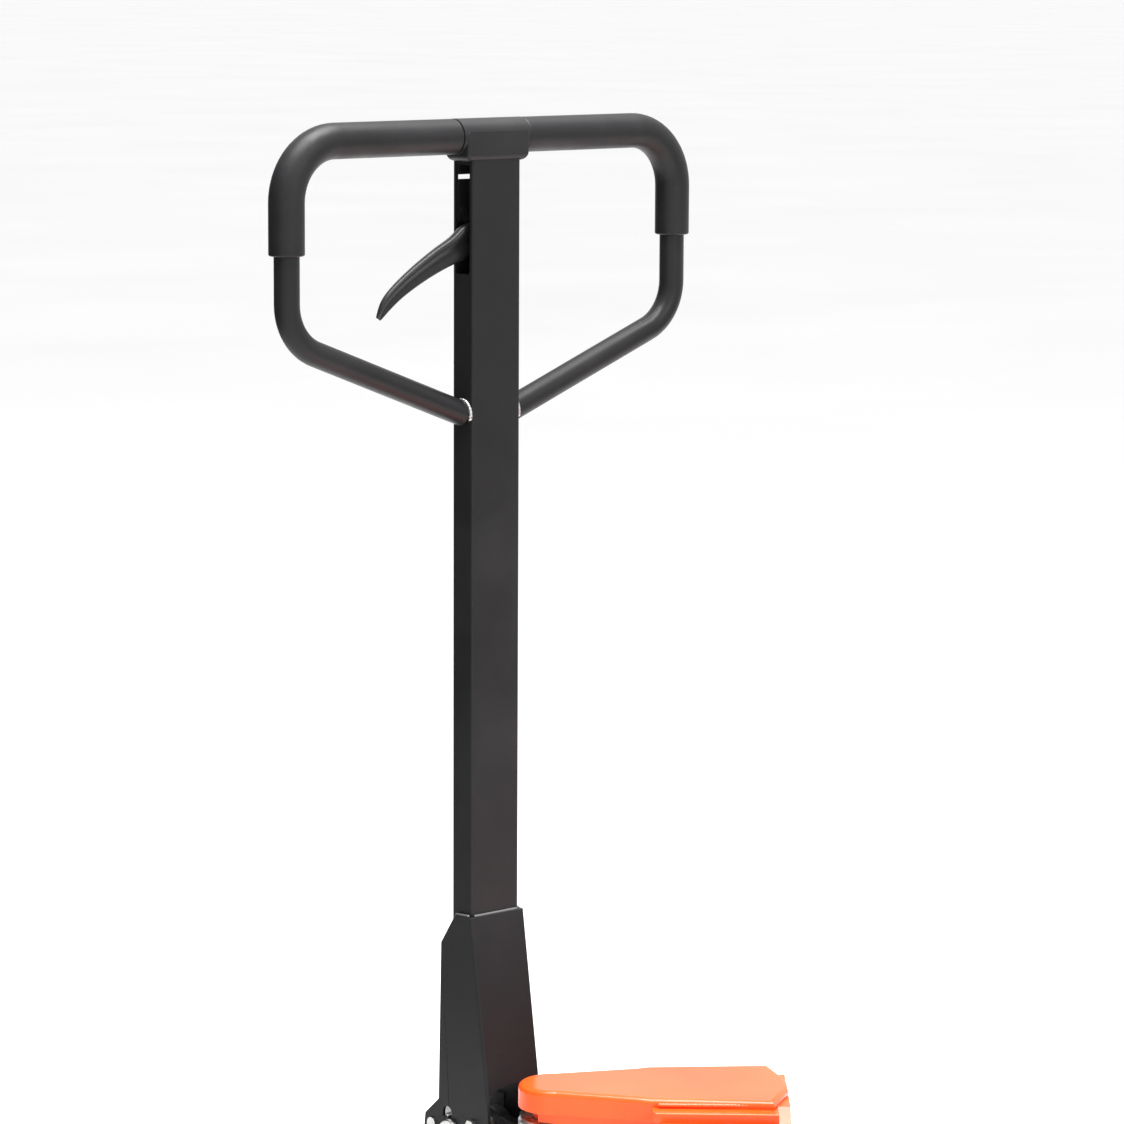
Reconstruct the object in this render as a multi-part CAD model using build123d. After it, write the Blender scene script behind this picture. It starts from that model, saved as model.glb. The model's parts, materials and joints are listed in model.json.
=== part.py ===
from build123d import *
import math
import os

# Pallet truck with a steered hydraulic pump unit, a fork frame, and an upright draw-bar handle.
#
# Row frame: +X towards the fork tips, +Z up, origin on the floor at the middle of the whole truck's box.
# The steering group (pump, wheels, handle) is drawn straight, then turned about the ram's axis to its parked angle.

os.makedirs("parts", exist_ok=True)

# ---- driving dimensions, mm -------------------------------------------------
STEER_DEG = -48.4        # parked steering angle of the handle group
RAM_X_TO_TIP = 1285.0    # ram axis to fork tips
LEFT_REACH = 221.32      # ram axis to the handle loop's outermost point at the parked angle
XS = -(RAM_X_TO_TIP - LEFT_REACH) / 2   # ram axis in the row frame
Z_CROSS = 1162.0         # centre of the loop's crossbar
Z_PIVOT = 354.0          # handle pivot shaft
X_COL = -87.0            # handle column centre, in the steering group
X_PIV = -96.0            # handle pivot shaft
X_ROL, Z_ROL, ROL_R = -120.0, 359.0, 13.0   # roller that presses the pump plunger
Y_LEV, Z_LEV = 6.0, -80.0                  # finger lever's pin, from the column's axis and the crossbar
COL_W, COL_D, COL_T = 50.0, 25.0, 2.5
LOOP_HALF, LOOP_LOW, LOOP_APEX = 200.0, 152.0, 228.0
TUBE_R, GRIP_R, GRIP_END = 10.0, 14.0, 86.0
CHEEK_IN, CHEEK_OUT = 25.3, 28.3
WHEEL_R, WHEEL_W, WHEEL_Y = 86.0, 45.0, 56.0
AXLE_Z = 86.0
RAM_R = 17.0
CYL_R, CYL_Z0, CYL_Z1 = 32.0, 112.0, 376.0
CROWN_TOP = 413.0
CROWN_T = 19.0
LIFT = 115.0
FORK_Y, FORK_W, FORK_TOP, FORK_BOT, FORK_T = 190.0, 160.0, 85.0, 32.0, 4.0
FORK_X0 = 176.0
HEEL_X = 236.0
ROCK_X, ROCK_Z, ROCK_R = 150.0, 98.0, 20.0
ROD_PIN_X, ROD_PIN_Z, LEG_PIN_X, LEG_PIN_Z = ROCK_X - 11.4, 70.3, 981.5, 69.4
LEG_X, LEG_Z, LEG_L = 1000.0, 44.0, 148.0
ROLL_R, ROLL_W, ROLL_Z = 37.0, 68.0, 37.0

parts = {}


def place(shape, steer):
    if steer:
        shape = Rot(0, 0, STEER_DEG) * shape
    return Pos(XS, 0, 0) * shape


def put(name, shape, steer=False):
    solids = shape.solids() if hasattr(shape, "solids") else list(shape)
    moved = [place(s, steer) for s in solids]
    parts[name] = Compound(children=moved) if len(moved) > 1 else moved[0]


def bx(x0, x1, y0, y1, z0, z1):
    return Pos((x0 + x1) / 2, (y0 + y1) / 2, (z0 + z1) / 2) * Box(x1 - x0, y1 - y0, z1 - z0)


def cyl_z(x, y, z0, z1, r):
    return Pos(x, y, (z0 + z1) / 2) * Cylinder(r, z1 - z0)


def cyl_y(x, z, y0, y1, r):
    return Pos(x, (y0 + y1) / 2, z) * Rot(90, 0, 0) * Cylinder(r, y1 - y0)


def cyl_x(y, z, x0, x1, r):
    return Pos((x0 + x1) / 2, y, z) * Rot(0, 90, 0) * Cylinder(r, x1 - x0)


def prism_y(points, y0, y1):
    """A polygon of (x, z) points, extruded from y0 to y1."""
    wire = Polyline([(x, y0, z) for x, z in points], close=True)
    return extrude(make_face(wire), amount=y1 - y0, dir=(0, 1, 0))


def prism_z(points, z0, z1):
    wire = Polyline([(x, y, z0) for x, y in points], close=True)
    return extrude(make_face(wire), amount=z1 - z0, dir=(0, 0, 1))


def prism_x(points, x0, x1):
    wire = Polyline([(x0, y, z) for y, z in points], close=True)
    return extrude(make_face(wire), amount=x1 - x0, dir=(1, 0, 0))


def rounded_z(shape, r):
    return fillet(shape.edges().filter_by(Axis.Z), r)


# ---- handle -----------------------------------------------------------------
loop_pts = [
    (X_COL, -COL_W / 2 + 0.0, Z_CROSS - LOOP_APEX + 9.5),
    (X_COL, -LOOP_HALF, Z_CROSS - LOOP_LOW),
    (X_COL, -LOOP_HALF, Z_CROSS),
    (X_COL, LOOP_HALF, Z_CROSS),
    (X_COL, LOOP_HALF, Z_CROSS - LOOP_LOW),
    (X_COL, COL_W / 2 - 0.0, Z_CROSS - LOOP_APEX + 9.5),
]
loop_path = FilletPolyline(*loop_pts, radius=[42, 46, 46, 42])
sec = Plane(origin=loop_path @ 0, z_dir=loop_path % 0)
loop_solid = sweep(sec * Circle(TUBE_R), path=loop_path)
loop_hollow = sweep(sec * Circle(TUBE_R - 2), path=loop_path)

grip_pts = [
    (X_COL, -LOOP_HALF, Z_CROSS - GRIP_END),
    (X_COL, -LOOP_HALF, Z_CROSS),
    (X_COL, LOOP_HALF, Z_CROSS),
    (X_COL, LOOP_HALF, Z_CROSS - GRIP_END),
]
grip_path = FilletPolyline(*grip_pts, radius=[46, 46])
gsec = Plane(origin=grip_path @ 0, z_dir=grip_path % 0)
grip_outer = sweep(gsec * Circle(GRIP_R), path=grip_path)
grip_bore = sweep(gsec * Circle(TUBE_R + 0.05), path=grip_path)

col = rounded_z(bx(X_COL - COL_D / 2, X_COL + COL_D / 2, -COL_W / 2, COL_W / 2, Z_CROSS - 690, Z_CROSS), 3.0)
col_in = rounded_z(bx(X_COL - COL_D / 2 + COL_T, X_COL + COL_D / 2 - COL_T, -COL_W / 2 + COL_T, COL_W / 2 - COL_T, Z_CROSS - 700, Z_CROSS + 5), 1.0)
tube = col - col_in
# slot for the finger lever: near side wall open, and a shorter one in the rear wall
tube -= bx(X_COL - 8.5, X_COL + 8.5, -COL_W / 2 - 2, -COL_W / 2 + 5, Z_CROSS - 108, Z_CROSS - 22)
tube -= bx(X_COL - COL_D / 2 - 2, X_COL - COL_D / 2 + 5, -COL_W / 2 + 4, 2, Z_CROSS - 66, Z_CROSS - 30)
tube -= bx(X_COL - COL_D, X_COL + COL_D, -40, 40, Z_CROSS, Z_CROSS + 20)
tube -= cyl_y(X_COL, Z_CROSS, -60, 60, TUBE_R + 0.05)
tube -= cyl_x(Y_LEV, Z_CROSS + Z_LEV, X_COL - 12.5, X_COL + 11.5, 4.0)
tube = tube.solids().sort_by(SortBy.VOLUME)[-1]
put("handle_tube", tube, True)

loop = (loop_solid - loop_hollow)
loop -= bx(X_COL - COL_D / 2, X_COL + COL_D / 2, -COL_W / 2 - 0.02, COL_W / 2 + 0.02, Z_CROSS - 400, Z_CROSS - 60)
put("handle_loop", loop.solids().sort_by(SortBy.VOLUME)[-1], True)
grip = grip_outer - grip_bore
grip -= bx(X_COL - 20, X_COL + 20, -34.1, 34.1, Z_CROSS - 20, Z_CROSS + 20)
put("grip_sleeves", grip, True)

# saddle that caps the joint of column and crossbar
sad = cyl_y(X_COL, Z_CROSS, -34, 34, GRIP_R + 0.15)
plate = rounded_z(bx(X_COL - COL_D / 2 - 1.9, X_COL + COL_D / 2 + 1.9, -31, 32.5, Z_CROSS - 19.5, Z_CROSS + 4), 2.5)
low = [e for e in plate.edges().filter_by(Axis.X) if (e @ 0.5).Z < Z_CROSS - 19]
sad += fillet(low, 6)
sad -= cyl_y(X_COL, Z_CROSS, -60, 60, TUBE_R + 0.1)
sad -= bx(X_COL - COL_D / 2 - 0.05, X_COL + COL_D / 2 + 0.05, -COL_W / 2 - 0.05, COL_W / 2 + 0.05, Z_CROSS - 40, Z_CROSS)
put("head_saddle", sad.solids().sort_by(SortBy.VOLUME)[-1], True)

# folded steel bracket at the column's foot
zc = Z_CROSS
cheek = [(-12.5, -636), (-22, -650), (-25, -781), (-42, -796), (-43.5, -808), (-35, -823), (-22, -834), (-9, -838),
         (10, -834), (30, -818), (37, -800), (36.6, -768), (15.5, -624), (-4, -624)]
cheek = [(X_COL + a, zc + b) for a, b in cheek]
base_outer = prism_y(cheek, -CHEEK_OUT, CHEEK_OUT)
inner = [(-70, -600), (-70, -860), (60, -860), (60, -790), (33.4, -768), (12.6, -624), (12.6, -600)]
base = base_outer - prism_y([(X_COL + a, zc + b) for a, b in inner], -CHEEK_IN, CHEEK_IN)
base -= bx(X_COL + 20, X_COL + 60, -CHEEK_IN, CHEEK_IN, zc - 860, zc - 766)
base -= Pos(X_COL + 30, 0, zc - 766 - 62) * Rot(0, 90, 0) * Cylinder(67, 40)   # arched lower edge of the front plate
for s in (-1, 1):   # put back the cheeks' front corners that the arch cut took
    lug = prism_y(cheek, *( (CHEEK_IN, CHEEK_OUT) if s > 0 else (-CHEEK_OUT, -CHEEK_IN) ))
    base += lug
front_edges = [e for e in base.edges() if e.length > 100 and abs((e @ 0.5).Y) > CHEEK_IN + 2
               and (e @ 0.5).X > X_COL + 20 and (e @ 0.5).Z > zc - 760]
try:
    base = fillet(front_edges, 2.6)
except Exception as exc:
    print("base fillet skipped", exc)
base -= cyl_y(X_PIV, Z_PIVOT, -40, 40, 8.0)
base -= cyl_y(X_ROL, Z_ROL, -40, 40, 5.0)
base -= bx(X_COL - 19.5, X_COL - 8.5, -40, 40, zc - 794, zc - 790.5) + cyl_y(X_COL - 14, zc - 790.5, -40, 40, 5.5)
base -= cyl_y(X_COL + 17.5, zc - 795, -40, 40, 3.0)
put("handle_base", base.solids().sort_by(SortBy.VOLUME)[-1], True)

shaft = cyl_y(X_PIV, Z_PIVOT, -CHEEK_OUT - 0.2, CHEEK_OUT + 0.2, 7.95)
put("handle_pivot_shaft", shaft, True)
caps = []
for s in (-1, 1):
    y0, y1 = (CHEEK_OUT + 0.25, CHEEK_OUT + 4.0) if s > 0 else (-CHEEK_OUT - 4.0, -CHEEK_OUT - 0.25)
    c = cyl_y(X_PIV, Z_PIVOT, y0, y1, 13.0)
    caps.append(chamfer(c.edges().filter_by(GeomType.CIRCLE), 0.9))
put("pivot_caps", Compound(children=[c.solid() for c in caps]), True)
bolts = []
for s in (-1, 1):
    y0, y1 = (CHEEK_IN - 0.7, CHEEK_OUT + 3.2) if s > 0 else (-CHEEK_OUT - 3.2, -CHEEK_IN + 0.7)
    b = cyl_y(X_COL + 17.5, zc - 795, y0, y1, 2.95)
    h = (CHEEK_OUT + 0.05, CHEEK_OUT + 3.6) if s > 0 else (-CHEEK_OUT - 3.6, -CHEEK_OUT - 0.05)
    b += Pos(X_COL + 17.5, (h[0] + h[1]) / 2, zc - 795) * Rot(90, 0, 0) * extrude(RegularPolygon(5.5, 6), amount=(h[1] - h[0]) / 2, both=True)
    bolts.append(b.solid())
put("base_bolts", Compound(children=bolts), True)
# finger lever: a curved tapering blade on a pin inside the column
lev_up = [(Y_LEV, -72.5), (-10, -66.5), (-24, -68), (-37.5, -77), (-55, -86.5), (-75, -98.8), (-95, -112), (-108, -124.5), (-114, -138.5)]
lev_lo = [(-107.5, -141), (-98, -131.5), (-90, -125.5), (-74, -118.5), (-55, -109.5), (-38, -102.5), (-28, -99), (-19, -96), (-8, -91), (Y_LEV, -87.5)]
profile = Spline(*[(X_COL, a, zc + b) for a, b in lev_up]) + Polyline((X_COL, lev_up[-1][0], zc + lev_up[-1][1]), (X_COL, lev_lo[0][0], zc + lev_lo[0][1])) \
    + Spline(*[(X_COL, a, zc + b) for a, b in lev_lo]) + Polyline((X_COL, Y_LEV, zc - 87.5), (X_COL, Y_LEV, zc - 72.5))
blade = extrude(make_face(profile), amount=5.5, dir=(1, 0, 0), both=True)
lever = blade + cyl_x(Y_LEV, zc + Z_LEV, X_COL - 7, X_COL + 7, 7.5)
lever -= cyl_x(Y_LEV, zc + Z_LEV, X_COL - 20, X_COL + 20, 4.05)
put("finger_lever", lever.solids().sort_by(SortBy.VOLUME)[-1], True)
put("lever_pin", cyl_x(Y_LEV, zc + Z_LEV, X_COL - 12.4, X_COL + 11.4, 3.98), True)
# pull rod in the column, under the lever, with a chain on its lower end
rod = cyl_z(X_COL, -10, zc - 640, zc - 116, 3.0) + Pos(X_COL, -10, zc - 110.5) * Rot(0, 90, 0) * Torus(6, 2)
put("release_pull_rod", rod.solids().sort_by(SortBy.VOLUME)[-1], True)
links = []
for i in range(8):
    t = Torus(5.2, 1.25)
    t = Rot(90, 0, 0) * t if i % 2 else Rot(0, 90, 0) * t
    links.append((Pos(X_COL, -10, zc - 649 - i * 13.0) * t).solid())
put("release_chain", Compound(children=links), True)

# pressure roller between the cheeks
RX, RZ = X_ROL, Z_ROL
rol = cyl_y(RX, RZ, -11, 11, ROL_R) - cyl_y(RX, RZ, -20, 20, 5.05)
rol = chamfer(rol.edges().filter_by(GeomType.CIRCLE).sort_by(SortBy.LENGTH)[-2:], 1.0)
put("pressure_roller", rol, True)
put("roller_axle", cyl_y(RX, RZ, -CHEEK_OUT - 1.5, CHEEK_OUT + 1.5, 4.98), True)

# ---- pump unit (turns with the handle) -------------------------------------
cylb = cyl_z(0, 0, CYL_Z0, CYL_Z1, CYL_R) - cyl_z(0, 0, CYL_Z0 + 10, CYL_Z1 + 5, RAM_R + 0.1)
put("pump_cylinder", cylb, True)
gland = chamfer(cyl_z(0, 0, CYL_Z1, CYL_Z1 + 9, 30).edges().group_by(Axis.Z)[-1], 2) - cyl_z(0, 0, CYL_Z1 - 5, CYL_Z1 + 20, RAM_R + 0.1)
put("gland_nut", gland, True)
res = rounded_z(bx(-142, -22, -30, 30, 207, 264), 12)
res = fillet(res.edges().group_by(Axis.Z)[-1], 5)
res += cyl_z(0, 0, 207, 264, CYL_R + 10)
res += cyl_z(X_ROL, 0, 225, 272, 20)
res -= cyl_z(0, 0, 180, 300, CYL_R)
res -= cyl_z(X_ROL, 0, 226, 300, 10.1)
put("pump_housing", res.solids().sort_by(SortBy.VOLUME)[-1], True)
# pivot lugs on a clamp collar round the cylinder's top
lugp = prism_y([(-30, 276), (-30, 318), (-58, 360), (-96, 365.9), (-96, 334.1), (-70, 336), (-62, 276)], -24, 24)
lugp += cyl_y(X_PIV, Z_PIVOT, -24, 24, 16)
lugp -= bx(-140, -68, -13, 13, 300, 400)
lugp += cyl_z(0, 0, 276, 316, CYL_R + 9)
lugp -= cyl_z(0, 0, 260, 420, CYL_R)
lugp -= cyl_y(X_PIV, Z_PIVOT, -60, 60, 8.02)
put("pivot_bracket", lugp.solids().sort_by(SortBy.VOLUME)[-1], True)
base_block = rounded_z(bx(-32, 32, -31, 31, 66, 112), 8) - cyl_y(0, AXLE_Z, -50, 50, 10.0)
put("pump_base", base_block, True)
put("steer_axle", cyl_y(0, AXLE_Z, -WHEEL_Y - WHEEL_W / 2 - 6, WHEEL_Y + WHEEL_W / 2 + 6, 9.98), True)
nuts = []
for s in (-1, 1):
    y = s * (WHEEL_Y + WHEEL_W / 2 + 3.1)
    n = Pos(0, y, AXLE_Z) * Rot(90, 0, 0) * Cylinder(15, 3.4) - cyl_y(0, AXLE_Z, -200, 200, 10.0)
    nuts.append(n.solid())
put("axle_collars", Compound(children=nuts), True)
put("pump_plunger", cyl_z(X_ROL, 0, 262, 337, 10.0) + cyl_z(X_ROL, 0, 337, 345.4, 14), True)
helix = Helix(pitch=8.2, height=57.4, radius=12.4)
coil = sweep(Plane(origin=helix @ 0, z_dir=helix % 0) * Circle(1.5), path=helix)
put("plunger_spring", Pos(X_ROL, 0, 275.0) * coil, True)
# drop valve: a cartridge on the housing's end with its lever
put("drop_valve", cyl_x(0, 236, -156, -142.05, 11) + cyl_x(0, 236, -162, -156, 7), True)
vl = prism_y([(-165, 228), (-165, 244), (-175, 262), (-181, 262), (-173, 240), (-173, 228)], -6, 6)
vl -= cyl_x(0, 236, -172, -150, 0.01)
put("valve_lever", vl, True)
caps2 = [(Pos(-70, s * 18, 264.1 + 3) * Cylinder(6, 6)).solid() for s in (-1, 1)]
put("filler_plugs", Compound(children=caps2), True)

bearings = []
for s, side in ((-1, "near"), (1, "far")):
    yc = s * WHEEL_Y
    t = cyl_y(0, AXLE_Z, yc - WHEEL_W / 2, yc + WHEEL_W / 2, WHEEL_R) - cyl_y(0, AXLE_Z, yc - 60, yc + 60, 66)
    t = fillet(t.edges().filter_by(GeomType.CIRCLE).sort_by(SortBy.LENGTH)[-2:], 5)
    put(f"steer_tyre_{side}", t, True)
    h = cyl_y(0, AXLE_Z, yc - WHEEL_W / 2 + 1.5, yc + WHEEL_W / 2 - 1.5, 65.95)
    h -= cyl_y(0, AXLE_Z, yc - WHEEL_W / 2 - 1, yc - 9, 54) - cyl_y(0, AXLE_Z, yc - 60, yc + 60, 30)
    h -= cyl_y(0, AXLE_Z, yc + 9, yc + WHEEL_W / 2 + 1, 54) - cyl_y(0, AXLE_Z, yc - 60, yc + 60, 30)
    h -= cyl_y(0, AXLE_Z, yc - 60, yc + 60, 23.5)
    put(f"steer_hub_{side}", h, True)
    for q in (-1, 1):
        b = cyl_y(0, AXLE_Z, yc + q * 13 - 7, yc + q * 13 + 7, 23.45) - cyl_y(0, AXLE_Z, yc - 60, yc + 60, 10.03)
        bearings.append(b.solid())
put("wheel_bearings", Compound(children=bearings), True)

# ---- lift carriage: ring under the pump housing, doesn't turn --------------
ring = cyl_z(0, 0, 187, 204, 47) - cyl_z(0, 0, 180, 210, CYL_R + 0.4)
for s in (-1, 1):
    ring += bx(30, 88, 40 if s > 0 else -44, 44 if s > 0 else -40, 187, 204)
ring -= bx(47.5, 95, -36, 36, 180, 210)
ring -= cyl_z(0, 0, 180, 210, CYL_R + 0.4)
put("swivel_ring", ring.solids().sort_by(SortBy.VOLUME)[-1])
put("swivel_race", cyl_z(0, 0, 204.05, 206.9, 44) - cyl_z(0, 0, 200, 210, CYL_R + 0.4))

# ---- rocker shaft and arms --------------------------------------------------
rk = cyl_y(ROCK_X, ROCK_Z, -196, 196, ROCK_R)
for s in (-1, 1):
    y0, y1 = (47, 55) if s > 0 else (-55, -47)
    a = prism_y([(76, 178), (83, 171), (95, 156), (107, 140), (120, 118), (131, 98), (150, 112), (140, 131), (122, 160), (104, 181), (92, 188), (79, 186)], y0, y1)
    rk += a
    y0, y1 = (184, 196) if s > 0 else (-196, -184)
    rk += prism_y([(ROCK_X - 18, ROCK_Z), (ROCK_X + 6, ROCK_Z - 16), (ROCK_X - 3, 66), (ROCK_X - 20, 66)], y0, y1) + cyl_y(ROD_PIN_X, ROD_PIN_Z, y0, y1, 9)
    y0, y1 = (190, 210) if s > 0 else (-210, -190)
    rk += cyl_y(ROD_PIN_X, ROD_PIN_Z, y0, y1, 5)
put("rocker_shaft", rk.solids().sort_by(SortBy.VOLUME)[-1])

# ---- push rods --------------------------------------------------------------
rods = []
for s in (-1, 1):
    y0, y1 = (198, 208) if s > 0 else (-208, -198)
    r = bx(ROD_PIN_X - 11, LEG_PIN_X - 20, y0, y1, 62, 76) + bx(ROD_PIN_X - 11, ROD_PIN_X + 12, y0, y1, 58, 80.4)
    r += bx(LEG_PIN_X - 22, LEG_PIN_X + 11, y0, y1, 56, 79)
    r -= bx(ROD_PIN_X - 5.8, ROD_PIN_X + 5.8, y0 - 5, y1 + 5, 68, 73) + cyl_y(ROD_PIN_X, 68, y0 - 5, y1 + 5, 5.8) + cyl_y(ROD_PIN_X, 72.6, y0 - 5, y1 + 5, 5.8)
    r -= bx(LEG_PIN_X - 6.0, LEG_PIN_X + 6.0, y0 - 5, y1 + 5, LEG_PIN_Z, 90) + cyl_y(LEG_PIN_X, LEG_PIN_Z, y0 - 5, y1 + 5, 6.0)
    rods.append(r.solids().sort_by(SortBy.VOLUME)[-1])
put("push_rods", Compound(children=rods))

# ---- legs and load rollers --------------------------------------------------
leg_pins = []
for s, side in ((-1, "near"), (1, "far")):
    yc = s * FORK_Y
    plates = None
    for q in (-1, 1):
        y0, y1 = yc + q * 43 - 4, yc + q * 43 + 4
        pl_ = prism_y([(LEG_X - 4, LEG_Z + 14), (LEG_X + LEG_L, ROLL_Z + 14), (LEG_X + LEG_L, ROLL_Z - 14), (LEG_X, LEG_Z - 10)], y0, y1)
        pl_ += cyl_y(LEG_X + LEG_L, ROLL_Z, y0, y1, 14) + cyl_y(LEG_X, LEG_Z, y0, y1, 11.9)
        pl_ += prism_y([(LEG_X - 11, LEG_Z - 2), (LEG_X + 10, LEG_Z + 6), (LEG_X - 11, 73), (LEG_X - 21, 73), (LEG_X - 24.5, 68.5), (LEG_X - 24.5, 64)], y0, y1)
        plates = pl_ if plates is None else plates + pl_
    plates += cyl_y(LEG_PIN_X, LEG_PIN_Z, yc - 44, yc + 44, 5)
    plates += bx(LEG_X + 34, LEG_X + 52, yc - 44, yc + 44, LEG_Z - 4, LEG_Z + 6)
    plates -= cyl_y(LEG_X, LEG_Z, yc - 100, yc + 100, 8.03)
    plates -= cyl_y(LEG_X + LEG_L, ROLL_Z, yc - 100, yc + 100, 8.0)
    put(f"leg_{side}", plates.solids().sort_by(SortBy.VOLUME)[-1])
    leg_pins.append(cyl_y(LEG_X, LEG_Z, yc - FORK_W / 2 + FORK_T + 0.1, yc + FORK_W / 2 - FORK_T - 0.1, 7.99))
    put(f"roller_axle_{side}", cyl_y(LEG_X + LEG_L, ROLL_Z, yc - 50, yc + 50, 7.98))
    t = cyl_y(LEG_X + LEG_L, ROLL_Z, yc - ROLL_W / 2, yc + ROLL_W / 2, ROLL_R) - cyl_y(LEG_X + LEG_L, ROLL_Z, yc - 80, yc + 80, 26)
    t = fillet(t.edges().filter_by(GeomType.CIRCLE).sort_by(SortBy.LENGTH)[-2:], 2.5)
    put(f"load_roller_tread_{side}", t)
    c = cyl_y(LEG_X + LEG_L, ROLL_Z, yc - ROLL_W / 2 + 0.5, yc + ROLL_W / 2 - 0.5, 25.95) - cyl_y(LEG_X + LEG_L, ROLL_Z, yc - 80, yc + 80, 8.06)
    put(f"load_roller_core_{side}", c)

put("leg_pivot_pins", Compound(children=[c.solid() for c in leg_pins]))

# ---- fork frame -------------------------------------------------------------
scr, entry_axles = [], []
for s, side in ((-1, "near"), (1, "far")):
    yc = s * FORK_Y
    x1 = RAM_X_TO_TIP
    y0, y1 = yc - FORK_W / 2, yc + FORK_W / 2
    outer = prism_y([(FORK_X0, FORK_BOT), (FORK_X0, FORK_TOP), (x1 - 95, FORK_TOP), (x1 - 12, 62), (x1, 54), (x1, 44), (x1 - 14, FORK_BOT)], y0, y1)
    tip_v = [e for e in outer.edges() if abs((e @ 0.5).X - x1) < 0.5 and e.length < 15]
    plan = Pos((FORK_X0 + x1) / 2, yc, 60) * extrude(RectangleRounded(x1 - FORK_X0 + 0.0, FORK_W, 46), amount=60, both=True)
    plan += bx(FORK_X0, FORK_X0 + 120, y0, y1, 0, 120)
    outer = outer & plan
    outer = fillet([e for e in outer.edges() if e.length > 700 and abs((e @ 0.5).Z - FORK_TOP) < 1], 7)
    core = prism_y([(FORK_X0 - 5, 0), (FORK_X0 - 5, FORK_TOP - FORK_T), (x1 - 96, FORK_TOP - FORK_T), (x1 - 62, 70), (x1 - 62, 0)], y0 + FORK_T, y1 - FORK_T)
    f = outer - core
    f -= cyl_y(LEG_X, LEG_Z, yc + 60, yc + 90, 6) + cyl_y(LEG_X, LEG_Z, yc - 90, yc - 60, 6)
    f -= bx(FORK_X0 - 5, HEEL_X, y0 - 5, y1 + 5, FORK_TOP - 0.4, FORK_TOP + 20)   # heel seat, just below the load face
    put(f"fork_{side}", f.solids().sort_by(SortBy.VOLUME)[-1])
    for q in (-1, 1):
        w0 = yc + q * (FORK_W / 2 - FORK_T - 0.05)
        w1 = yc + q * (FORK_W / 2 + 2.5)
        scr.append(cyl_y(LEG_X, LEG_Z, min(w0, w1), max(w0, w1), 5.9).solid())
    # small entry roller in the tip
    er = cyl_y(x1 - 80, 44, yc - 24, yc + 24, 14) - cyl_y(x1 - 80, 44, yc - 40, yc + 40, 5.05)
    put(f"entry_roller_{side}", er)
    entry_axles.append(cyl_y(x1 - 80, 44, yc - FORK_W / 2 + FORK_T + 0.1, yc + FORK_W / 2 - FORK_T - 0.1, 5.0).solid())
put("pivot_screws", Compound(children=scr))
put("entry_axles", Compound(children=entry_axles))

# upright bulkhead between pump and load
bh = prism_x([(-270, FORK_TOP - 0.3), (270, FORK_TOP - 0.3), (270, 128), (252, 156), (108, 352), (84, 380), (60, 396), (48, CROWN_TOP - 6.05), (-48, CROWN_TOP - 6.05), (-60, 396), (-84, 380), (-108, 352), (-252, 156), (-270, 128)], 175, 185)
bh += prism_x([(-109.8, 60), (109.8, 60), (109.8, FORK_TOP + 1), (-109.8, FORK_TOP + 1)], 175, 185)
bh = fillet([e for e in bh.edges().filter_by(Axis.X) if (e @ 0.5).Z > 100 and (e @ 0.5).Z < 386], 9)
put("bulkhead", bh)
# crown: top plate with a rounded tongue over the ram
R_T = 30.0
plan_pts = [(0, R_T), (64, 46), (74, 50.5), (172, 57), (185, 15), (185, -15), (172, -57), (74, -50.5), (64, -46), (0, -R_T)]
w = Polyline([(x, y, 0) for x, y in plan_pts])
nose = ThreePointArc((0, -R_T, 0), (-R_T, 0, 0), (0, R_T, 0))
crown = Pos(0, 0, CROWN_TOP - CROWN_T) * extrude(make_face(Wire([*w.edges(), *nose.edges()])), amount=CROWN_T, dir=(0, 0, 1))
top_e = crown.edges().group_by(Axis.Z)[-1]
crown = fillet(top_e, 4.5)
bot_e = [e for e in crown.edges().group_by(Axis.Z)[0] if (e @ 0.5).X < -5]
try:
    crown = fillet(bot_e, 4.5)
except Exception as exc:
    print("nose fillet skipped", exc)
crown -= bx(174.95, 190, -80, 80, 300, CROWN_TOP - 6)
put("crown_plate", crown.solids().sort_by(SortBy.VOLUME)[-1])

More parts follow.
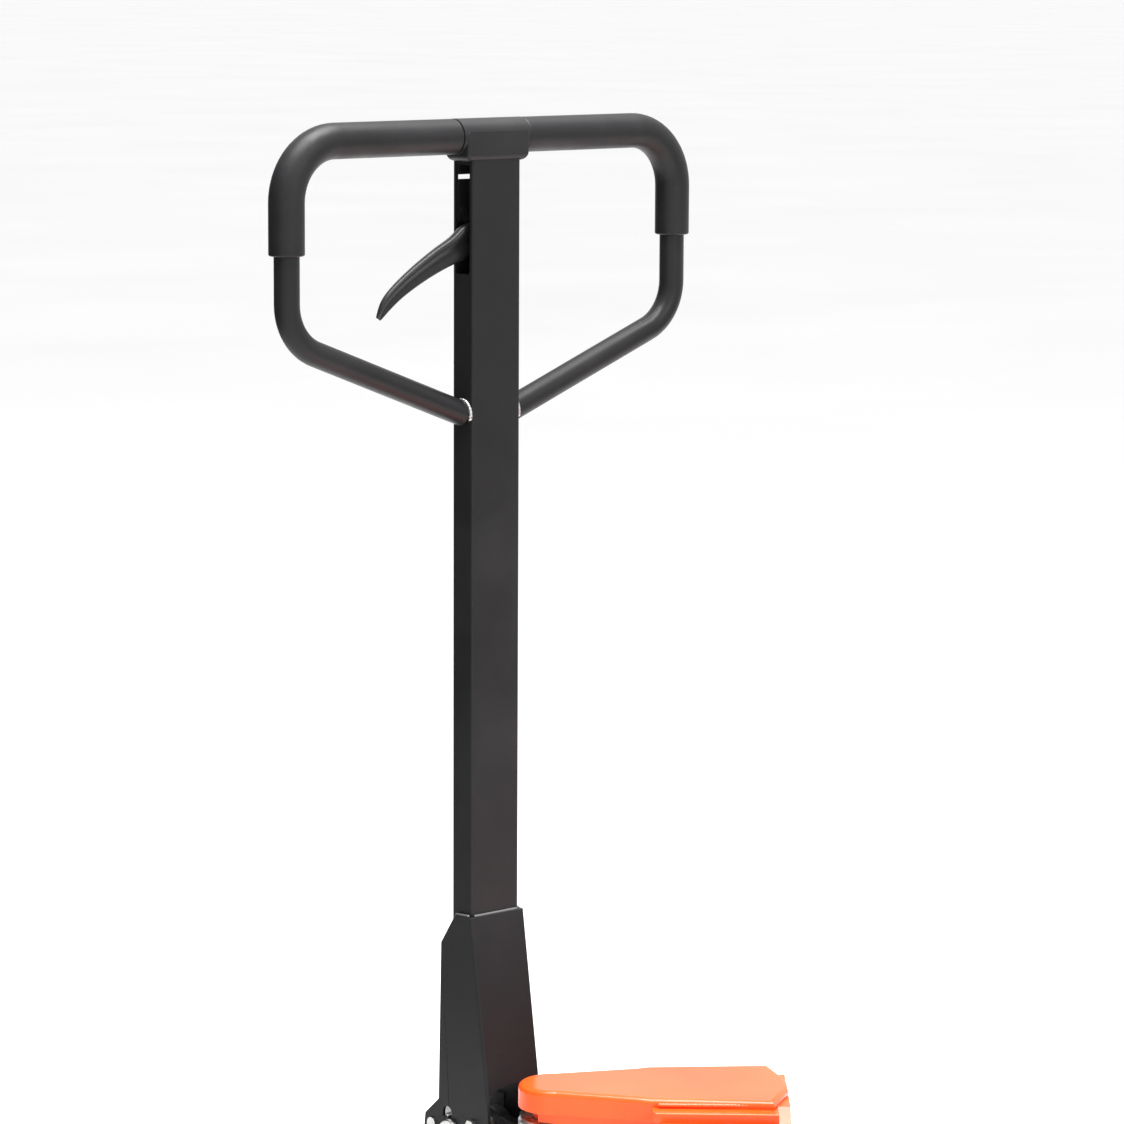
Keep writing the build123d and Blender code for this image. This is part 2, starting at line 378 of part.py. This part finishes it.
# cheeks under the crown, stiffened by a stepped pressing
walls, ledges, pressings = [], [], []
for s, side in ((-1, "near"), (1, "far")):
    up = CROWN_TOP - CROWN_T - 0.05
    wall = prism_z([(-14, s * 22), (0, s * 27.5), (66, s * 43.5), (72, s * 47), (174.9, s * 50.5), (174.9, s * 44.5), (74, s * 41), (66, s * 37), (0, s * 20.5), (-10, s * 16)], 386.2, up)
    wall += prism_z([(80, s * 47.2), (174.9, s * 50.5), (174.9, s * 44.5), (80, s * 41.2)], 371, up)
    low = prism_z([(84, s * 47.4), (174.9, s * 50.5), (174.9, s * 44.5), (84, s * 41.4)], 230, 373)
    low &= prism_y([(84, 372.5), (174.9, 372.5), (174.9, 232), (160, 232)], -60, 60)
    wall += low
    walls.append(wall.solids().sort_by(SortBy.VOLUME)[-1])
    # stepped side pressing: an upper ledge on a deeper pressing
    over = prism_z([(60, s * 44), (74, s * 50.6), (172.1, s * 57.1), (186, s * 14), (60, s * 14)], 300, CROWN_TOP + 5)
    s1 = prism_z([(76, s * 46), (76, s * 64), (79, s * 67), (174.9, s * 70), (174.9, s * 46)], CROWN_TOP - 14.5, CROWN_TOP - 6.5) - over
    s1 = fillet([e for e in s1.edges() if (e @ 0.5).Z > CROWN_TOP - 7 and abs((e @ 0.5).Y) > 66 and e.length > 50], 1.5)
    s2 = prism_x([(s * 51.2, 340), (s * 51.2, CROWN_TOP - 14.6), (s * 82, CROWN_TOP - 14.6), (s * 90, CROWN_TOP - 21), (s * 96, 372), (s * 80, 352)], 82, 174.9) - over
    s2 = fillet([e for e in s2.edges() if (e @ 0.5).X < 82.1 and abs((e @ 0.5).Y) > 60 and e.length > 5], 2.0)
    ledges.append(s1.solids().sort_by(SortBy.VOLUME)[-1])
    pressings.append(s2.solids().sort_by(SortBy.VOLUME)[-1])
put("crown_cheeks", Compound(children=walls))
put("side_ledges", Compound(children=ledges))
put("side_pressings", Compound(children=pressings))

# ram: fixed to the crown, slides in the pump
ram = cyl_z(0, 0, CYL_Z0 + 16, 386.15, RAM_R)
put("lift_ram", ram)
put("ram_seat", cyl_z(0, 0, 386.2, CROWN_TOP - CROWN_T - 0.05, 18.4))

# rocker bearing plates on the bulkhead
brs = []
for s in (-1, 1):
    y0, y1 = (138, 150) if s > 0 else (-150, -138)
    b = prism_y([(174.9, 128), (174.9, 70), (138, 70), (124, 84), (124, 112), (138, 128)], y0, y1) - cyl_y(ROCK_X, ROCK_Z, -300, 300, ROCK_R + 0.1)
    brs.append(b.solid())
put("rocker_brackets", Compound(children=brs))
gus = []
for s in (-1, 1):
    for yy in (112, 240):
        y0, y1 = (yy, yy + 6) if s > 0 else (-yy - 6, -yy)
        g = prism_y([(185.1, FORK_TOP - 0.3), (185.1, 150 if yy > 200 else 190), (192, 150 if yy > 200 else 190), (230, FORK_TOP - 0.3)], y0, y1)
        gus.append(g.solid())
put("heel_gussets", Compound(children=gus))

for name, shape in parts.items():
    export_step(shape, f"parts/{name}.step")
bb = Compound(children=[p for p in parts.values()]).bounding_box()
print(len(parts), "nodes; box", bb.min, bb.max)
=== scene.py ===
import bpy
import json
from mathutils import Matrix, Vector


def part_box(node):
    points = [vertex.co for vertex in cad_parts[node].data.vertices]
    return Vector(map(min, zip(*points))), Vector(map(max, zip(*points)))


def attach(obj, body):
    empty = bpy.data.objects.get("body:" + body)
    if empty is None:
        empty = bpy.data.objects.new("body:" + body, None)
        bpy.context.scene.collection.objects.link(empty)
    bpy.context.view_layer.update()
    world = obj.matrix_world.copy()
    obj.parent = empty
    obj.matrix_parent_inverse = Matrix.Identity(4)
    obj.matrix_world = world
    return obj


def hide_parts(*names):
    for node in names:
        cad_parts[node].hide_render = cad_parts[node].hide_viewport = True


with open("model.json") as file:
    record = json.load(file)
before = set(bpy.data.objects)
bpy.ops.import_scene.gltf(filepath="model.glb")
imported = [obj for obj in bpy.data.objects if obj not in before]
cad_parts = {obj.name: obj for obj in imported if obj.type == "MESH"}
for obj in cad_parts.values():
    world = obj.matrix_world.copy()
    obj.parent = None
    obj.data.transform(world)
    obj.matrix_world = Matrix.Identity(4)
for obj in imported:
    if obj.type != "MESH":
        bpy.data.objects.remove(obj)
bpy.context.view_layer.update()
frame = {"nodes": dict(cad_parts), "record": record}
import bpy, json, math, random
from mathutils import Vector, Matrix, noise

random.seed(7)
NODES = frame["nodes"]
SLOT_OF = {p["node"]: p["material_slot"] for p in frame["record"]["subparts"]}


# ---------------------------------------------------------------- materials
class Mat:
    """A procedural surface built on one Principled shader; positions come from object coordinates, in metres."""

    def __init__(self, name):
        self.m = bpy.data.materials.new(name)
        self.m.use_nodes = True
        self.nt = self.m.node_tree
        self.bsdf = self.nt.nodes["Principled BSDF"]
        self.co = self.nt.nodes.new("ShaderNodeTexCoord").outputs["Object"]
        self.height = None

    def new(self, kind, **values):
        n = self.nt.nodes.new(kind)
        for k, v in values.items():
            if hasattr(n, k):
                setattr(n, k, v)
            else:
                n.inputs[k].default_value = v
        return n

    def link(self, a, b):
        self.nt.links.new(a, b)

    def scaled(self, scale):
        n = self.nt.nodes.new("ShaderNodeMapping")
        n.inputs["Scale"].default_value = scale
        self.link(self.co, n.inputs["Vector"])
        return n.outputs["Vector"]

    def noise(self, scale, detail=4.0, rough=0.55, vector=None):
        n = self.new("ShaderNodeTexNoise")
        n.inputs["Scale"].default_value = scale
        n.inputs["Detail"].default_value = detail
        n.inputs["Roughness"].default_value = rough
        self.link(vector if vector is not None else self.co, n.inputs["Vector"])
        return n.outputs["Fac"]

    def ramp(self, fac, stops):
        n = self.new("ShaderNodeValToRGB")
        e = n.color_ramp.elements
        e[0].position, e[0].color = stops[0][0], (*stops[0][1], 1)
        e[1].position, e[1].color = stops[-1][0], (*stops[-1][1], 1)
        for pos, col in stops[1:-1]:
            k = e.new(pos)
            k.color = (*col, 1)
        self.link(fac, n.inputs["Fac"])
        return n.outputs["Color"]

    def grey(self, fac, p0, v0, p1, v1):
        return self.ramp(fac, [(p0, (v0,) * 3), (p1, (v1,) * 3)])

    def mix(self, fac, a, b, mode="MIX"):
        n = self.new("ShaderNodeMix", data_type="RGBA", blend_type=mode)
        for s, v in ((n.inputs[0], fac), (n.inputs[6], a), (n.inputs[7], b)):
            if isinstance(v, (int, float)):
                s.default_value = v
            elif isinstance(v, tuple):
                s.default_value = (*v, 1)
            else:
                self.link(v, s)
        return n.outputs[2]

    def math(self, op, a, b=0.0):
        n = self.new("ShaderNodeMath", operation=op)
        for s, v in ((n.inputs[0], a), (n.inputs[1], b)):
            if isinstance(v, (int, float)):
                s.default_value = v
            else:
                self.link(v, s)
        return n.outputs[0]

    def bump(self, height, strength, distance):
        n = self.new("ShaderNodeBump")
        n.inputs["Strength"].default_value = strength
        n.inputs["Distance"].default_value = distance
        self.link(height, n.inputs["Height"])
        if self.height is not None:
            self.link(self.height, n.inputs["Normal"])
        self.height = n.outputs["Normal"]
        self.link(self.height, self.bsdf.inputs["Normal"])

    def edges(self, lo=0.53, hi=0.60):
        g = self.nt.nodes.new("ShaderNodeNewGeometry")
        return self.grey(g.outputs["Pointiness"], lo, 0.0, hi, 1.0)

    def set(self, **values):
        for k, v in values.items():
            s = self.bsdf.inputs[k.replace("_", " ")]
            if isinstance(v, (int, float)):
                s.default_value = v
            elif isinstance(v, tuple):
                s.default_value = (*v, 1)
            else:
                self.link(v, s)


def paint(name, colour, rough, peel=0.22, wear=0.35, coat=0.35, dust=(0.5, 0.48, 0.45), dust_amount=0.06, under=(0.22, 0.21, 0.2), spec=0.5):
    a = Mat(name)
    big = a.noise(9.0, 5.0)
    fine = a.noise(160.0, 6.0, 0.65)
    dark = tuple(c * 0.82 for c in colour)
    light = tuple(min(1.0, c * 1.12 + 0.004) for c in colour)
    col = a.ramp(big, [(0.3, dark), (0.5, colour), (0.72, light)])
    speck = a.grey(fine, 0.60, 0.0, 0.80, dust_amount)
    col = a.mix(speck, col, dust)
    chips = a.math("MULTIPLY", a.edges(0.535, 0.60), a.grey(a.noise(55.0, 5.0), 0.55, 0.0, 0.68, wear))
    col = a.mix(chips, col, under)
    r = a.grey(a.noise(14.0, 6.0, 0.6), 0.3, rough * 0.82, 0.75, rough * 1.28)
    r = a.mix(chips, r, (0.6, 0.6, 0.6))
    a.set(Base_Color=col, Roughness=r, Coat_Weight=coat, Coat_Roughness=0.18, Specular_IOR_Level=spec)
    a.bump(a.noise(420.0, 2.0), peel, 0.00012)
    a.bump(a.noise(60.0, 4.0), 0.10, 0.0003)
    return a


def metal(name, colour, rough, stretch=(40, 40, 900), tint=(0.5, 0.46, 0.38), stain=0.25):
    a = Mat(name)
    brush = a.noise(1.0, 3.0, 0.6, a.scaled(stretch))
    blot = a.noise(70.0, 5.0, 0.6)
    dark = tuple(c * 0.78 for c in colour)
    col = a.ramp(brush, [(0.3, dark), (0.7, colour)])
    col = a.mix(a.grey(blot, 0.5, 0.0, 0.78, stain), col, tint)
    r = a.grey(blot, 0.3, rough * 0.75, 0.75, rough * 1.5)
    a.set(Base_Color=col, Roughness=r, Metallic=1.0)
    a.bump(brush, 0.12, 0.0001)
    return a


def rubber(name, colour, rough, grain=520.0, strength=0.35, dust=(0.3, 0.29, 0.27), amount=0.10, spec=0.5):
    a = Mat(name)
    col = a.ramp(a.noise(22.0, 5.0), [(0.3, tuple(c * 0.8 for c in colour)), (0.7, tuple(min(1, c * 1.2) for c in colour))])
    col = a.mix(a.grey(a.noise(95.0, 7.0, 0.7), 0.52, 0.0, 0.78, amount), col, dust)
    a.set(Base_Color=col, Roughness=a.grey(a.noise(30.0, 4.0), 0.3, rough * 0.85, 0.7, rough * 1.2), Specular_IOR_Level=spec)
    a.bump(a.noise(grain, 3.0), strength, 0.00015)
    return a


M = {}
M["black_paint"] = paint("black_paint", (0.011, 0.011, 0.012), 0.42, peel=0.30, wear=0.25, coat=0.0, dust_amount=0.03, dust=(0.10, 0.10, 0.10), spec=0.22)
M["pump_paint"] = paint("pump_paint", (0.020, 0.020, 0.022), 0.42, peel=0.40, wear=0.4, dust_amount=0.07, dust=(0.25, 0.24, 0.22))
M["orange_paint"] = paint("orange_paint", (0.95, 0.094, 0.010), 0.24, peel=0.18, wear=0.35, coat=0.12, dust_amount=0.03, dust=(0.75, 0.36, 0.20), under=(0.45, 0.14, 0.07), spec=0.3)
M["grip_vinyl"] = rubber("grip_vinyl", (0.010, 0.010, 0.011), 0.46, 700.0, 0.25, (0.08, 0.08, 0.08), 0.06, 0.26)
M["tyre"] = rubber("tyre", (0.20, 0.035, 0.018), 0.5, 240.0, 0.3, (0.33, 0.27, 0.22), 0.28)
M["nylon"] = rubber("nylon", (0.72, 0.70, 0.64), 0.5, 300.0, 0.2, (0.35, 0.32, 0.28), 0.2)
M["chrome"] = metal("chrome", (0.83, 0.83, 0.85), 0.09, (60, 60, 500), (0.6, 0.6, 0.6), 0.08)
M["zinc"] = metal("zinc", (0.72, 0.72, 0.70), 0.30, (300, 300, 300), (0.55, 0.50, 0.36), 0.3)
M["bearing_steel"] = metal("bearing_steel", (0.48, 0.48, 0.49), 0.28, (90, 90, 700), (0.2, 0.17, 0.12), 0.35)
M["hub_iron"] = paint("hub_iron", (0.30, 0.30, 0.31), 0.5, peel=0.6, wear=0.4, coat=0.1, dust_amount=0.12, under=(0.12, 0.11, 0.1))
# the welds' colours are a touch lighter than the paint round them; the loop welds' light bare-metal colour is a
# painted highlight
M["weld_black"] = paint("weld_black", (0.10, 0.10, 0.10), 0.33, peel=0.5, wear=0.2, dust_amount=0.05)
M["weld_orange"] = paint("weld_orange", (0.90, 0.12, 0.024), 0.36, peel=0.5, wear=0.3, dust_amount=0.05)
M["weld_painted_highlight"] = metal("weld_painted_highlight", (0.62, 0.61, 0.60), 0.34, (500, 500, 500), (0.2, 0.17, 0.15), 0.5)
M["lever_paint"] = paint("lever_paint", (0.010, 0.010, 0.011), 0.30, peel=0.15, wear=0.35, coat=0.15, dust_amount=0.03, dust=(0.1, 0.1, 0.1), spec=0.30)
M["head_plate"] = paint("head_plate", (0.012, 0.012, 0.013), 0.42, peel=0.2, wear=0.0, coat=0.0, dust_amount=0.01, dust=(0.05, 0.05, 0.05), spec=0.24)

BEVEL = {"black_paint": 0.0009, "orange_paint": 0.0012, "pump_paint": 0.0012, "zinc": 0.0005, "hub_iron": 0.0012, "grip_vinyl": 0.0016,
         "bearing_steel": 0.0005, "chrome": 0.0005, "nylon": 0.001, "tyre": 0.0008}
ROUND = {"plunger_spring", "release_chain", "handle_loop", "grip_sleeves"}


def finish_surface(o, width, segments=3):
    o.data.polygons.foreach_set("use_smooth", [True] * len(o.data.polygons))
    w = o.modifiers.new("weld", "WELD")
    w.merge_threshold = 2e-6
    b = o.modifiers.new("bevel", "BEVEL")
    b.width, b.segments, b.limit_method, b.angle_limit = width, segments, "ANGLE", math.radians(38)
    b.harden_normals = True
    b.use_clamp_overlap = True
    b.miter_outer = "MITER_ARC"
    wn = o.modifiers.new("normals", "WEIGHTED_NORMAL")
    wn.keep_sharp = True


for name, o in NODES.items():
    slot = SLOT_OF[name]
    o.data.materials.clear()
    mat = M["head_plate"] if name == "head_saddle" else M[slot]
    o.data.materials.append(mat.m)
    finish_surface(o, BEVEL[slot])


# ---------------------------------------------------------------- added pieces
def add_mesh(name, verts, faces, mat, body, smooth=True):
    me = bpy.data.meshes.new(name)
    me.from_pydata([tuple(v) for v in verts], [], faces)
    me.update()
    o = bpy.data.objects.new(name, me)
    bpy.context.scene.collection.objects.link(o)
    me.materials.append(M[mat].m)
    me.polygons.foreach_set("use_smooth", [smooth] * len(me.polygons))
    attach(o, body)
    return o


def resample(points, step):
    out, rest = [Vector(points[0])], 0.0
    for a, b in zip(points, points[1:]):
        a, b = Vector(a), Vector(b)
        d = (b - a).length
        if d < 1e-9:
            continue
        t = step - rest
        while t <= d:
            out.append(a + (b - a) * (t / d))
            t += step
        rest = (rest + d) % step if d >= step - rest else rest + d
    return out


def bead(name, points, radius, mat, body, closed=False):
    """A weld: a low rope with a ripple for each puddle, slightly uneven along its length."""
    pts = resample(points, radius * 0.28)
    n, k = len(pts), 12
    verts, faces = [], []
    for i, p in enumerate(pts):
        q = pts[(i + 1) % n] if closed else pts[min(i + 1, n - 1)]
        r = pts[i - 1] if (closed or i) else pts[0]
        t = (q - r).normalized()
        a = t.orthogonal().normalized() if abs(t.z) > 0.99 else t.cross(Vector((0, 0, 1))).normalized()
        b = t.cross(a)
        phase = (i % 6) / 6.0
        s = radius * (0.86 + 0.16 * math.sin(phase * math.pi)) * (1 + 0.12 * noise.noise(p * 160.0))
        if not closed and (i < 3 or i > n - 4):
            s *= 0.45 + 0.18 * min(i, n - 1 - i)
        for j in range(k):
            u = 2 * math.pi * j / k
            verts.append(p + a * math.cos(u) * s + b * math.sin(u) * s)
    for i in range(n if closed else n - 1):
        for j in range(k):
            i2 = (i + 1) % n
            faces.append((i * k + j, i * k + (j + 1) % k, i2 * k + (j + 1) % k, i2 * k + j))
    if not closed:
        faces.append(tuple(range(k))[::-1])
        faces.append(tuple((n - 1) * k + j for j in range(k)))
    return add_mesh(name, verts, faces, mat, body)


# steering group's own frame: the ram's axis, read from the model, and the parked angle
rlo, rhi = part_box("lift_ram")
AX = Vector(((rlo.x + rhi.x) / 2, (rlo.y + rhi.y) / 2, 0))
ST = math.radians(-48.4)


def L(x, y, z):
    return Vector((AX.x + x * math.cos(ST) - y * math.sin(ST), AX.y + x * math.sin(ST) + y * math.cos(ST), z))


glo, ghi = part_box("grip_sleeves")
ZC = ghi.z - 0.014                   # the crossbar's centre
XC = -0.087                          # the column's centre in that frame
# welds where the loop's arms meet the column's sides, in a light colour that paints their highlight
for s, tag in ((-1, "near"), (1, "far")):
    c = L(XC, s * 0.0251, ZC - 0.2187)
    arc = [c + (L(1, 0, 0) - L(0, 0, 0)) * (0.0104 * math.cos(u)) + Vector((0, 0, 0.0112 * math.sin(u))) for u in [math.radians(-25 + 4 * i) for i in range(48)]]
    bead(f"loop_weld_{tag}", arc, 0.0016, "weld_painted_highlight", "handle")


def spline(points, n):
    """A Catmull-Rom curve through the points, n samples."""
    pts = [2 * points[0] - points[1]] + points + [2 * points[-1] - points[-2]]
    out, spans = [], len(points) - 1
    for i in range(n):
        t = i / (n - 1) * spans
        k = min(int(t), spans - 1)
        f = t - k
        a, b, c, d = pts[k:k + 4]
        out.append(0.5 * ((2 * b) + (c - a) * f + (2 * a - 5 * b + 4 * c - d) * f * f + (3 * b - a - 3 * c + d) * f ** 3))
    return out


# the finger lever as a pressed blade: a rounded top flange, hollow sides and a thin tip
mm = 0.001
upper = [(6, -72.5), (-8, -67.6), (-24, -69), (-37.5, -78.4), (-55, -87.6), (-75, -99.4), (-94, -112.6), (-106, -124), (-112.5, -137.5)]
lower = [(6, -87), (-8, -90.6), (-19, -94.5), (-30, -98.4), (-47, -104.4), (-66, -112.6), (-85, -122.6), (-98, -131.6), (-108.4, -140.2)]
N = 72
up = spline([Vector((a, b)) for a, b in upper], N)
lw = spline([Vector((a, b)) for a, b in lower], N)
section = [(0.0, 0.0), (0.45, 0.01), (0.85, 0.06), (1.0, 0.16), (0.97, 0.26), (0.72, 0.36), (0.55, 0.50), (0.50, 0.68), (0.55, 0.84), (0.50, 0.94), (0.25, 0.99)]
section = section + [(0.0, 1.0)] + [(-a, b) for a, b in section[:0:-1]]
verts, faces = [], []
for i in range(N):
    t = i / (N - 1)
    thick = 5.2 * (1 - t) ** 0.6 * 0.72 + 1.35
    thick *= 1.0 if i < N - 3 else (0.92, 0.8, 0.55)[i - (N - 3)]
    for v, f in section:
        q = up[i].lerp(lw[i], f)
        verts.append(L(XC + v * thick * mm, q.x * mm, ZC + q.y * mm))
K = len(section)
for i in range(N - 1):
    for j in range(K):
        faces.append((i * K + j, i * K + (j + 1) % K, (i + 1) * K + (j + 1) % K, (i + 1) * K + j))
faces.append(tuple(range(K))[::-1])
faces.append(tuple((N - 1) * K + j for j in range(K)))
base = len(verts)
H, ring = 40, [(-5.4, 4.1), (-5.4, 7.0), (-4.9, 7.45), (4.9, 7.45), (5.4, 7.0), (5.4, 4.1)]
for i in range(H):
    u = 2 * math.pi * i / H
    for x, r in ring:
        verts.append(L(XC + x * mm, (6 + r * math.cos(u)) * mm, ZC + (-80 + r * math.sin(u)) * mm))
for i in range(H):
    for j in range(len(ring)):
        a, b = i * len(ring), ((i + 1) % H) * len(ring)
        k = (j + 1) % len(ring)
        faces.append((base + a + j, base + b + j, base + b + k, base + a + k))
lever = add_mesh("finger_lever_blade", verts, faces, "lever_paint", "lever")
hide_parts("finger_lever")

# a guide plate inside the column, behind the lever's slot
def plate(name, x, y0, y1, z0, z1, t=0.0009):
    c = [L(XC + a, b, ZC + z) for a in (x - t, x + t) for b in (y0, y1) for z in (z0, z1)]
    f = [(0, 1, 3, 2), (4, 6, 7, 5), (0, 4, 5, 1), (2, 3, 7, 6), (0, 2, 6, 4), (1, 5, 7, 3)]
    o = add_mesh(name, c, f, "black_paint", "handle", False)
    b = o.modifiers.new("bevel", "BEVEL")
    b.width, b.segments = 0.0004, 2
    return o


plate("guide_low", -0.0091, -0.0222, 0.004, -0.0675, -0.0338)
plate("guide_high", -0.0091, -0.0222, 0.004, -0.0302, -0.0200)
# a doubler that backs the far cheek's slot
c = [L(XC + a, b, ZC + z) for a in (-0.0225, -0.0045) for b in (0.02440, 0.02525) for z in (-0.7985, -0.7815)]
dbl = add_mesh("cheek_doubler", c, [(0, 1, 3, 2), (4, 6, 7, 5), (0, 4, 5, 1), (2, 3, 7, 6), (0, 2, 6, 4), (1, 5, 7, 3)], "black_paint", "handle", False)
dm = dbl.modifiers.new("bevel", "BEVEL")
dm.width, dm.segments = 0.0003, 2

# welds down the bracket's sides onto the column
for s, tag in ((-1, "near"), (1, "far")):
    bead(f"bracket_weld_{tag}", [L(XC - 0.0110, s * 0.0262, ZC - 0.6355), L(XC - 0.0045, s * 0.0262, ZC - 0.6245), L(XC + 0.011, s * 0.0262, ZC - 0.6235)], 0.0014, "weld_black", "handle")
bead("bracket_weld_front", [L(XC + 0.0132, y, ZC - 0.6235) for y in (-0.023, 0.0, 0.023)], 0.0013, "weld_black", "handle")
# welds of the fork frame: bulkhead to forks, gussets, crown
blo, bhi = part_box("bulkhead")
for s, tag in ((-1, "near"), (1, "far")):
    bead(f"heel_weld_{tag}", [(bhi.x + 0.001, s * 0.118, 0.0862), (bhi.x + 0.001, s * 0.262, 0.0862)], 0.0026, "weld_orange", "frame")
clo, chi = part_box("crown_plate")
bead("crown_weld", [(blo.x - 0.0006, y, chi.z - 0.0146) for y in (-0.046, 0.0, 0.046)], 0.0022, "weld_orange", "frame")
llo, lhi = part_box("side_ledges")
for s, tag in ((-1, "near"), (1, "far")):
    bead(f"ledge_weld_{tag}", [(llo.x + 0.004, s * 0.0524, llo.z + 0.0105), (lhi.x - 0.002, s * 0.0545, llo.z + 0.0105)], 0.0017, "weld_orange", "frame")

# ---------------------------------------------------------------- stage
bpy.context.scene.view_settings.view_transform = "Standard"
w = bpy.data.worlds.new("studio")
bpy.context.scene.world = w
w.use_nodes = True
bg = w.node_tree.nodes["Background"]
bg.inputs["Color"].default_value = (1.0, 1.0, 1.0, 1)
bg.inputs["Strength"].default_value = 1.0

fm = Mat("floor")
fm.set(Base_Color=fm.ramp(fm.noise(0.7, 3.0), [(0.3, (0.93, 0.93, 0.93)), (0.7, (0.97, 0.97, 0.97))]), Roughness=fm.grey(fm.noise(3.0), 0.3, 0.75, 0.7, 0.9))
me = bpy.data.meshes.new("floor")
S = 160.0
me.from_pydata([(-S, -S, 0), (S, -S, 0), (S, S, 0), (-S, S, 0)], [], [(0, 1, 2, 3)])
floor = bpy.data.objects.new("floor", me)
me.materials.append(fm.m)
bpy.context.scene.collection.objects.link(floor)


def area(name, loc, target, size, power, size_y=None):
    d = bpy.data.lights.new(name, "AREA")
    d.shape = "RECTANGLE"
    d.size, d.size_y, d.energy = size, size_y or size, power
    o = bpy.data.objects.new(name, d)
    o.location = loc
    o.rotation_euler = (Vector(target) - Vector(loc)).to_track_quat("-Z", "Y").to_euler()
    bpy.context.scene.collection.objects.link(o)
    return o


HX = AX.x


def card(name, x, y0, y1, z1, tone):
    """A studio flag out of the picture, standing on the floor."""
    m = Mat(name)
    m.set(Base_Color=m.ramp(m.noise(2.0), [(0.3, (tone,) * 3), (0.7, (tone * 1.15,) * 3)]), Roughness=0.9, Specular_IOR_Level=0.1)
    me = bpy.data.meshes.new(name)
    me.from_pydata([(x, y0, 0.002), (x, y1, 0.002), (x, y1, z1), (x, y0, z1)], [], [(0, 1, 2, 3)])
    me.materials.append(m.m)
    o = bpy.data.objects.new(name, me)
    bpy.context.scene.collection.objects.link(o)
    o.visible_camera = False


card("flag_left", HX - 1.55, -1.9, 2.4, 2.1, 0.03)
card("flag_right", HX + 2.7, -2.2, 1.2, 0.62, 0.10)
area("top", (HX + 0.1, -0.1, 3.6), (HX, 0, 0.6), 2.6, 260, 1.8)
area("key", (HX + 2.4, -2.2, 2.5), (HX, 0, 0.8), 1.6, 26, 1.6)

# ---------------------------------------------------------------- camera
cam = bpy.data.cameras.new("camera")
cam.sensor_width = 36.0
cam.lens = 4272.0 / 1124.0 * 36.0
cam.clip_start, cam.clip_end = 0.1, 600.0
co = bpy.data.objects.new("camera", cam)
bpy.context.scene.collection.objects.link(co)
ph, rh = math.radians(8.34), math.radians(0.27)
Fv, Rv, Uv = Vector((0, math.cos(ph), -math.sin(ph))), Vector((1, 0, 0)), Vector((0, math.sin(ph), math.cos(ph)))
R2, U2 = Rv * math.cos(rh) + Uv * math.sin(rh), Uv * math.cos(rh) - Rv * math.sin(rh)
rot = Matrix((R2, U2, -Fv)).transposed().to_4x4()
co.matrix_world = Matrix.Translation(Vector((AX.x + 0.00296, AX.y - 3.31244, ZC + 0.156))) @ rot
bpy.context.scene.camera = co

bpy.context.view_layer.update()
